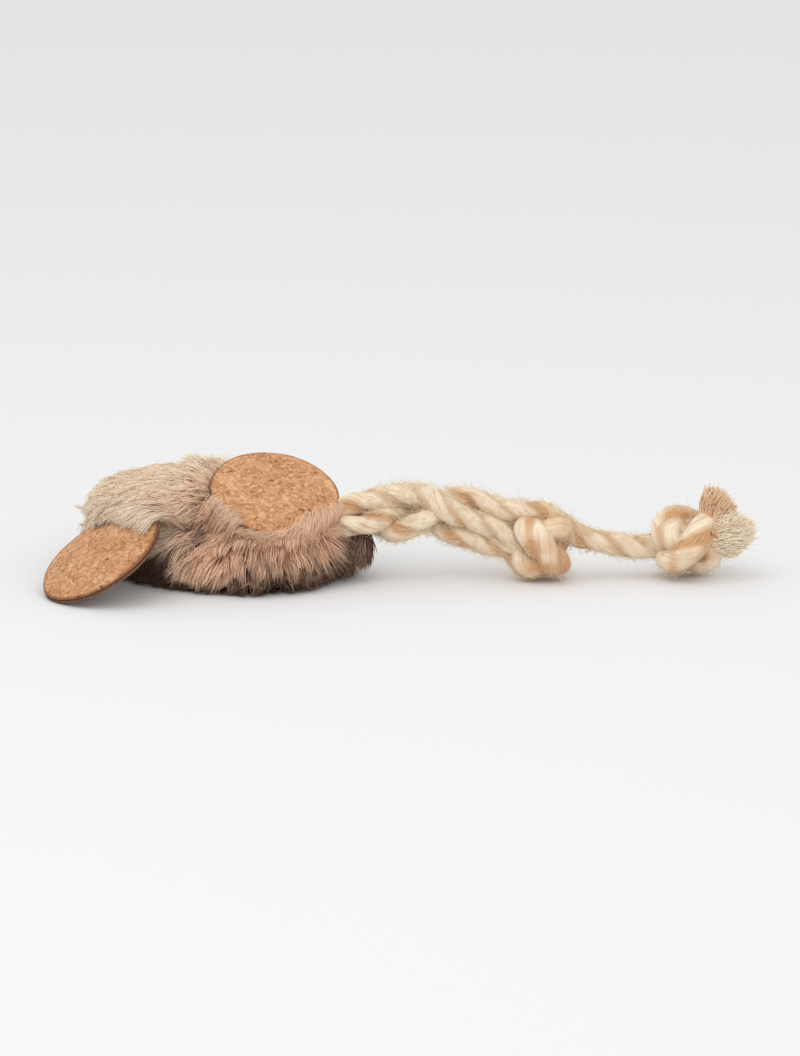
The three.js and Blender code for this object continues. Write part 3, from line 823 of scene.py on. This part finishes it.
STRAND, STRAND_SIDES = 6.3, 28
TAIL_ROOT = np.array([binding_centre[0], binding_centre[1], 0.0])
ROUTE = np.array([
    [0, 0, 18.6], [4, 0, 19.4], [7.5, 0, 19.8], [11, -0.1, 19.9], [14.5, -0.1, 19.9], [18, -0.1, 19.8],
    [21.5, -0.2, 19.5], [25, -0.2, 19.2], [28.5, -0.2, 18.7], [32, -0.3, 18.1], [35.5, -0.3, 17.2],
    [38.5, -0.3, 16.2], [41.5, -0.3, 15.1], [45, -0.4, 13.8], [49, -0.4, 12.1], [52.9, -0.4, 10.4],
])
TIP = np.array([
    [0, 0, 11.4], [6, 0.2, 12], [11.5, 0.4, 12.1], [16, 0.7, 11.2], [20.5, 1.1, 10.1], [24.5, 1.5, 9.3],
    [28.5, 1.9, 8.9], [33, 2.2, 9.2], [37, 2.4, 9.9], [41.1, 2.5, 10.4],
])
KNOT = TAIL_ROOT + ROUTE[-1]
TIP_FOOT = KNOT * np.array([1, 1, 0])
END_KNOT = TIP_FOOT + TIP[-1]
BEND = np.array([3.5, 0, 0])
FUZZ_PLACES, FUZZ_WIDTH, FUZZ_TIP, LOWEST_FIBRE = 40, 0.13, 0.06, 0.3

# Each row: distance along from the root, height above the plait's middle line, and how far
# towards the near side.
UPPER_WAY = np.array([
    [-7, -2.6, 0.4], [-2, 2.4, 0.4], [3, 3.2, 0.4], [8, 3.8, 0.3], [12, 4.4, 0.3],
    [17, 4.9, 0.6], [21, 4.7, 1.8], [24, 3.4, 3.6], [27, 1.9, 3.9], [30, 0.7, 3.6],
    [34, 0.1, 3.0], [38, -0.4, 2.4], [42, -1.0, 1.6], [47, -1.2, 0.6], [52, -0.6, 0],
])
LOWER_WAY = np.array([
    [-7, -2.0, 2.6], [-2, -2.6, 3.4], [3, -2.6, 3.2], [8, -1.7, 1.8], [12, -1.2, -1.4],
    [17, -1.2, -3.8], [21, -3.2, -2.8], [24, -4.2, -1.6], [27, -4.9, 0.4], [30, -5.2, 1.6],
    [34, -5.5, 1.8], [38, -5.6, 1.4], [42, -5.0, 0.8], [47, -3.0, 0.4], [52, -1.0, 0],
])
BACK_WAY = np.array([
    [-2, -1.0, -3.6], [3, -2.2, -3.8], [8, -5.0, -2.6], [12, -5.6, 1.4], [17, -3.6, 2.8],
    [21, -0.6, 2.9], [24, 2.0, -1.6], [27, 3.8, -2.4], [30, 4.6, -2.2], [34, 4.9, -1.4],
    [38, 5.0, -0.8], [42, 5.1, -0.6], [46, 6.2, -0.6], [50, 7.8, -0.4], [54, 8.8, 0], [58, 6.0, 0.2],
])


def run_along(path):
    """How far along a path each of its points lies."""
    return np.concatenate([[0], np.cumsum(np.linalg.norm(np.diff(path, axis=0), axis=1))])


def eased(points, count):
    """A smooth curve through points, with even steps."""
    points = np.asarray(points, float)
    padded = np.vstack([2 * points[0] - points[1], points, 2 * points[-1] - points[-2]])
    fine = []
    for i in range(1, len(padded) - 2):
        p0, p1, p2, p3 = padded[i - 1 : i + 3]
        t = np.linspace(0, 1, 24, endpoint=False)[:, None]
        square = 2 * p0 - 5 * p1 + 4 * p2 - p3
        cube = 3 * p1 - p0 - 3 * p2 + p3
        fine.append(0.5 * (2 * p1 + (p2 - p0) * t + square * t**2 + cube * t**3))
    fine = np.vstack([*fine, points[-1:]])
    length = run_along(fine)
    even = np.linspace(0, length[-1], count)
    return np.stack([np.interp(even, length, fine[:, k]) for k in range(3)], 1)


def plait_points(way):
    """Points of one strand in mm, from its way beside the plait's middle line."""
    x = way[:, 0]
    y = np.interp(x, ROUTE[:, 0], ROUTE[:, 1]) - way[:, 2]
    z = np.interp(x, ROUTE[:, 0], ROUTE[:, 2]) + way[:, 1]
    return TAIL_ROOT + np.stack([x, y, z], 1)


def two_ply(path, radius, lay, phase, closed=False):
    """A strand of two plies twisted together: points, faces and masks for its grooves and fibres."""
    _, right, up = frames_along(path)
    run = run_along(path)
    angle = round_angles(STRAND_SIDES)
    turn = 2 * math.pi * run / lay + phase
    ply = angle[None, :] - turn[:, None]
    groove = np.abs(np.cos(ply)) ** 6
    rim = [(0.8 * math.cos(a), 0.8 * math.sin(a) + phase) for a in angle]
    lumps = np.array([[noise.noise(Vector((r / 4.5, a, b))) for a, b in rim] for r in run])
    size = radius * (1.03 - 0.22 * groove + 0.07 * lumps)
    points = path[:, None] + spokes(right[:, None], up[:, None], angle) * size[..., None]
    drawn_out = np.broadcast_to(run[:, None] * 0.12, ply.shape)
    fibre = np.stack([drawn_out, np.cos(ply) * 3, np.sin(ply) * 3], -1)
    faces = ring_faces(len(path), STRAND_SIDES, start_cap=not closed, end_cap=not closed)
    return points.reshape(-1, 3), faces, groove.ravel(), fibre.reshape(-1, 3) * MM


roving = Finish("roving", Roughness=0.9, Sheen_Weight=0.3, Specular_IOR_Level=0.15)
fibre_place = roving.vector("fibre")
streaks = roving.grain(fibre_place, 1900.0, 5.0)
flecks = roving.between(roving.grain(fibre_place, 900.0, 3.0), 0.60, 0.68)
stains = roving.grain(roving.place(), 95.0, 2.0)
groove_mask = roving.mask("groove")
cream = roving.mix(streaks, tint(232, 206, 172), tint(255, 242, 220))
tan = roving.mix(streaks, tint(190, 136, 88), tint(228, 182, 134))
# Tan in the plies' grooves is painted shade; the stain noise is the roving's own colour.
tan_stains_and_groove_shade = roving.between(stains + 0.20 * groove_mask + roving.mask("soiled"), 0.54, 0.78)
roving_color = roving.mix(tan_stains_and_groove_shade, cream, tan)
roving_color = roving.mix(flecks * 0.45, roving_color, tint(176, 122, 72))
roving.feed(Base_Color=roving_color, Normal=roving.bump(streaks - 0.5 * groove_mask, 0.0007))


def strand_piece(name, path, lay, phase):
    points, faces, groove, fibre = two_ply(path, STRAND / 2, lay, phase)
    masks = {"groove": groove, "fibre": fibre, "soiled": np.zeros(len(points))}
    piece = make_piece(name, points * MM, faces, roving.material, **masks)
    return piece


upper_path = eased(plait_points(UPPER_WAY), 110)
lower_path = eased(plait_points(LOWER_WAY), 110)
back_path = eased(np.vstack([plait_points(BACK_WAY), TIP_FOOT + TIP[2:]]), 190)
upper_strand = strand_piece("strand_upper", upper_path, lay=21, phase=0.4)
lower_strand = strand_piece("strand_lower", lower_path, lay=23, phase=1.9)
long_strand = strand_piece("strand_long", back_path, lay=22, phase=1.0)
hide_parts("tail_strand_upper")
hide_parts("tail_strand_lower")
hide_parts("tail_strand_back", "tail_end_strand")

fuzz = Finish("loose_fibre", Roughness=0.9)
fuzz_grain = fuzz.grain(fuzz.place(), 300.0, 2.0)
fuzz.feed(Base_Color=fuzz.mix(fuzz_grain, tint(226, 190, 138), tint(252, 240, 214)))


def fuzz_of(name, path, radius, body, count):
    """Fine fibres that have worked loose all round a stretch of strand, in mm."""
    ahead, right, up = frames_along(path)
    angle = chance.uniform(0, 2 * math.pi, (len(path), FUZZ_PLACES))
    away = spokes(right[:, None], up[:, None], angle)
    points = (path[:, None] + away * radius * 0.96).reshape(-1, 3)
    away = away.reshape(-1, 3)
    along = np.repeat(ahead, FUZZ_PLACES, axis=0)
    chosen = chance.choice(len(points), count)
    step = np.linspace(0, 1, FUR_STATIONS)
    length = chance.uniform(0.8, 3.0, (count, 1, 1))
    way = np.sign(chance.normal(size=(count, 1)))
    lean = along[chosen] * way + away[chosen] * chance.uniform(0.15, 0.8, (count, 1))
    lean = unit(lean + chance.normal(0, 0.3, (count, 3)))
    bow = chance.normal(0, 0.4, (count, 1, 3)) * (step**2)[None, :, None]
    paths = points[chosen][:, None] + lean[:, None] * length * step[None, :, None] + bow
    paths[..., 2] = np.maximum(paths[..., 2], LOWEST_FIBRE)
    widths = np.broadcast_to(FUZZ_WIDTH + (FUZZ_TIP - FUZZ_WIDTH) * step, (count, FUR_STATIONS))
    piece = fibre_mesh(paths, widths, name, fuzz.material, points[chosen][:, :2])
    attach(piece, body)


for name, path in (("upper", upper_path), ("lower", lower_path), ("back", back_path)):
    in_plait = (path[:, 0] > TAIL_ROOT[0] + BEND[0]) & (path[:, 0] < KNOT[0])
    fuzz_of("fuzz_" + name, path[in_plait], STRAND / 2, "tail", count=2400)
fuzz_of("fuzz_end", back_path[back_path[:, 0] > KNOT[0]], STRAND / 2, "tail_tip", count=1800)
for strand in (upper_strand, lower_strand):
    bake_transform(strand)
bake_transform(long_strand)


# Knots: each is an overhand knot drawn tight, a ball of crossed turns. The middle one takes
# in all three strands, and the end one holds the tail's cut ends.

KNOT_SCALE, KNOT_STRAND, KNOT_LAY = 2.2, 4.2, 26
CORE_RADIUS, CORE_RINGS, CORE_SIDES = 6.4, 15, 28


def spun(reach, height, sides):
    """Rings of points about an upright line, from how far out and how high each ring lies."""
    angle = round_angles(sides)
    level = np.broadcast_to(height[:, None], (len(height), sides))
    across, along = reach[:, None] * np.cos(angle), reach[:, None] * np.sin(angle)
    return np.stack([across, along, level], -1).reshape(-1, 3)


def knot_piece(name, centre, turns, body, node, knot_tan_share):
    """A tight three-lobed knot of two-ply strand round a filled middle."""
    t = np.linspace(0, 2 * math.pi, 241) + math.pi / 3
    swing = 2 + np.cos(3 * t)
    path = np.stack([swing * np.cos(2 * t), swing * np.sin(2 * t), -2.5 * np.sin(3 * t)], 1) * KNOT_SCALE
    turn = Matrix.Identity(3)
    for angle, axis in turns:
        turn = Matrix.Rotation(math.radians(angle), 3, axis) @ turn
    path = path @ np.array(turn).T + centre
    points, faces, groove, fibre = two_ply(path, KNOT_STRAND, KNOT_LAY, phase=0.3, closed=True)
    points[:, 2] = np.maximum(points[:, 2], LOWEST_FIBRE)
    core_angle = np.linspace(0, math.pi, CORE_RINGS + 2)[1:-1]
    core = np.roll(spun(np.sin(core_angle), np.cos(core_angle), CORE_SIDES), 1, axis=1)
    core = core * CORE_RADIUS + centre
    first = len(points)
    core_faces = [[first + j for j in face] for face in ring_faces(CORE_RINGS, CORE_SIDES)]
    points = np.vstack([points, core])
    # Painted shade: the knot's filled middle takes the full groove tan, deep between the turns.
    groove = np.concatenate([groove, np.ones(len(core))])
    fibre = np.vstack([fibre, (core - centre) * MM])
    masks = {"groove": groove, "fibre": fibre, "soiled": np.full(len(points), knot_tan_share)}
    piece = make_piece(name, points * MM, faces + core_faces, roving.material, **masks)
    fuzz_of(name.replace("knot", "fuzz_knot"), path, KNOT_STRAND, body, count=2600)
    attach(piece, body)
    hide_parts(node)


middle_turns = [(-78, "Z"), (8, "X")]
end_turns = [(30, "Z"), (80, "Y"), (12, "Z")]
# Each knot's share of tan makes it tanner all over than the strands.
knot_piece("knot_middle", KNOT, middle_turns, "tail", "tail_knot_mid", knot_tan_share=0.16)
knot_piece("knot_end", END_KNOT, end_turns, "tail_tip", "tail_knot_end", knot_tan_share=0.08)


# Frayed ends: past the end knot the strands are cut and combed out, one into a short tan
# brush that stands up and one into a soft pale puff.

FRAY_START, FRAY_LOWEST, CORE_SHARE = 5, 0.4, 0.64
FRAY_ROOT, FRAY_TIP, FRAY_POINT = 0.46, 0.20, 0.02


def frayed(name, node, bearing, rise, foot, length, radii, count, colors, blunt):
    """Fibres that spread out of the end knot, in mm. Their tips are drawn in to a point."""
    b, r = math.radians(bearing), math.radians(rise)
    axis = np.array([math.cos(b) * math.cos(r), math.sin(b) * math.cos(r), math.sin(r)])
    right = unit(np.cross(axis, [0, 0, 1]))
    up = np.cross(right, axis)
    angle = chance.uniform(0, 2 * math.pi, count)
    reach = np.sqrt(chance.random(count))
    step = np.append(np.linspace(0, 1, 7), 1.005)
    radius = radii[0] + (radii[1] - radii[0]) * step**0.8
    out = reach[:, None] * radius[None, :]
    ends = length * chance.uniform(0.85, 1.05, count) * (1 - blunt * reach**2)
    along = FRAY_START + (ends[:, None] - FRAY_START) * step[None, :]
    side = spokes(right, up, angle)
    paths = END_KNOT + axis * along[..., None] + side[:, None] * out[..., None]
    paths = paths + np.array(foot) * ((1 - step) ** 2)[:, None]
    bends = chance.normal(0, 0.7, (count, 1, 3)) * (step**2)[None, :, None]
    wave = np.sin(step * 7 + chance.uniform(0, 6, (count, 1)))[..., None]
    paths = paths + bends + wave * chance.normal(0, 0.22, (count, 1, 3))
    paths[..., 2] = np.maximum(paths[..., 2], FRAY_LOWEST)
    finish = Finish(name + "_fibre", Roughness=0.9, Sheen_Weight=0.3)
    finish.feed(Base_Color=finish.mix(finish.mask("tuft_tone"), *colors))
    widths = np.where(step > 1, FRAY_POINT, FRAY_ROOT + (FRAY_TIP - FRAY_ROOT) * step)
    widths = np.broadcast_to(widths, (count, len(step)))
    order = np.stack([angle, reach], 1)
    tone = np.clip(chance.normal(0.6, 0.28, (count, 1)), 0, 1) * (0.45 + 0.55 * step)[None, :]
    piece = fibre_mesh(paths, widths, name, finish.material, order, tuft_tone=tone)
    core = soft_lump(name + "_core", node, finish.material, voxel=0.5, lump=0.8, size=2)
    about_knot = Matrix.Translation(END_KNOT * MM)
    core.data.transform(about_knot @ Matrix.Scale(CORE_SHARE, 4) @ about_knot.inverted())
    core_tone = core.data.attributes.new("tuft_tone", "FLOAT", "POINT")
    core_tone.data.foreach_set("value", [0.8] * len(core.data.vertices))
    for part in (piece, core):
        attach(part, "tail_tip")
        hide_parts(node)


frayed(
    "frayed_tan", "tail_tuft_tan", bearing=9, rise=49, foot=(5, -4, -1), length=16.6, radii=(3.8, 4.8),
    count=1500, colors=(tint(218, 164, 118), tint(255, 226, 188)), blunt=0.05,
)
frayed(
    "frayed_pale", "tail_tuft_pale", bearing=-6, rise=12, foot=(0, 0, 0), length=19.8, radii=(4.0, 6.6),
    count=2300, colors=(tint(255, 228, 192), tint(255, 245, 224)), blunt=0.35,
)


# Floor: a plain pale floor that turns up all round like a wide dish, under soft light from
# above and in front.

FLOOR_REACH, FLOOR_CURVE, FLOOR_SIDES = 2.4, 1.6, 96
LIT_PLACE = Vector((0.04, -0.01, 0.01))

floor_color = tint(234, 234, 234)
floor_finish = Finish("pale_floor", Base_Color=floor_color, Roughness=0.9, Specular_IOR_Level=0.1)
sweep_angle = np.linspace(0, math.radians(60), 16)
sweep_reach = np.concatenate([[0.02, 0.8, 1.6], FLOOR_REACH + FLOOR_CURVE * np.sin(sweep_angle)])
sweep_height = np.concatenate([[0, 0, 0], FLOOR_CURVE * (1 - np.cos(sweep_angle))])
floor_points = spun(sweep_reach, sweep_height, FLOOR_SIDES)
floor_faces = [face[::-1] for face in ring_faces(len(sweep_reach), FLOOR_SIDES, end_cap=False)]
floor = make_piece("floor_dish", floor_points, floor_faces, floor_finish.material)
floor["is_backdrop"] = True

world = bpy.data.worlds.new("studio")
bpy.context.scene.world = world
world.use_nodes = True
background = world.node_tree.nodes["Background"].inputs
background["Color"].default_value = (1, 1, 1, 1)
background["Strength"].default_value = 0.88
for name, place, size, power in (
    ("overhead", (-0.25, -0.35, 0.9), 0.7, 1.6),
    ("front_fill", (0.4, -2.4, 1.5), 1.8, 16.5),
):
    lamp = bpy.data.lights.new(name, "AREA")
    lamp.size = size
    lamp.energy = power
    holder = bpy.data.objects.new(name, lamp)
    bpy.context.scene.collection.objects.link(holder)
    holder.location = place
    holder.rotation_euler = (LIT_PLACE - holder.location).to_track_quat("-Z", "Y").to_euler()
bpy.context.scene.view_settings.view_transform = "Standard"


# Camera: low down on the toy's near side and square to its tail, far enough off that the
# near and far ends keep one scale.

AIM = Vector((50.1 * MM, -9.0 * MM, 14.7 * MM))
DISTANCE, ELEVATION = 2.0, math.radians(13)
FRAME_WIDTH = 226.3 * MM
PICTURE_WIDTH, PICTURE_HEIGHT = 800, 1056
SENSOR = 36
frame_height = FRAME_WIDTH * PICTURE_HEIGHT / PICTURE_WIDTH
camera_data = bpy.data.cameras.new("camera")
camera_data.sensor_width = SENSOR
camera_data.lens = SENSOR * DISTANCE / frame_height
camera = bpy.data.objects.new("camera", camera_data)
bpy.context.scene.collection.objects.link(camera)
camera.location = AIM + DISTANCE * Vector((0, -math.cos(ELEVATION), math.sin(ELEVATION)))
camera.rotation_euler = (AIM - camera.location).to_track_quat("-Z", "Y").to_euler()
bpy.context.scene.camera = camera

low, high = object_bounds()
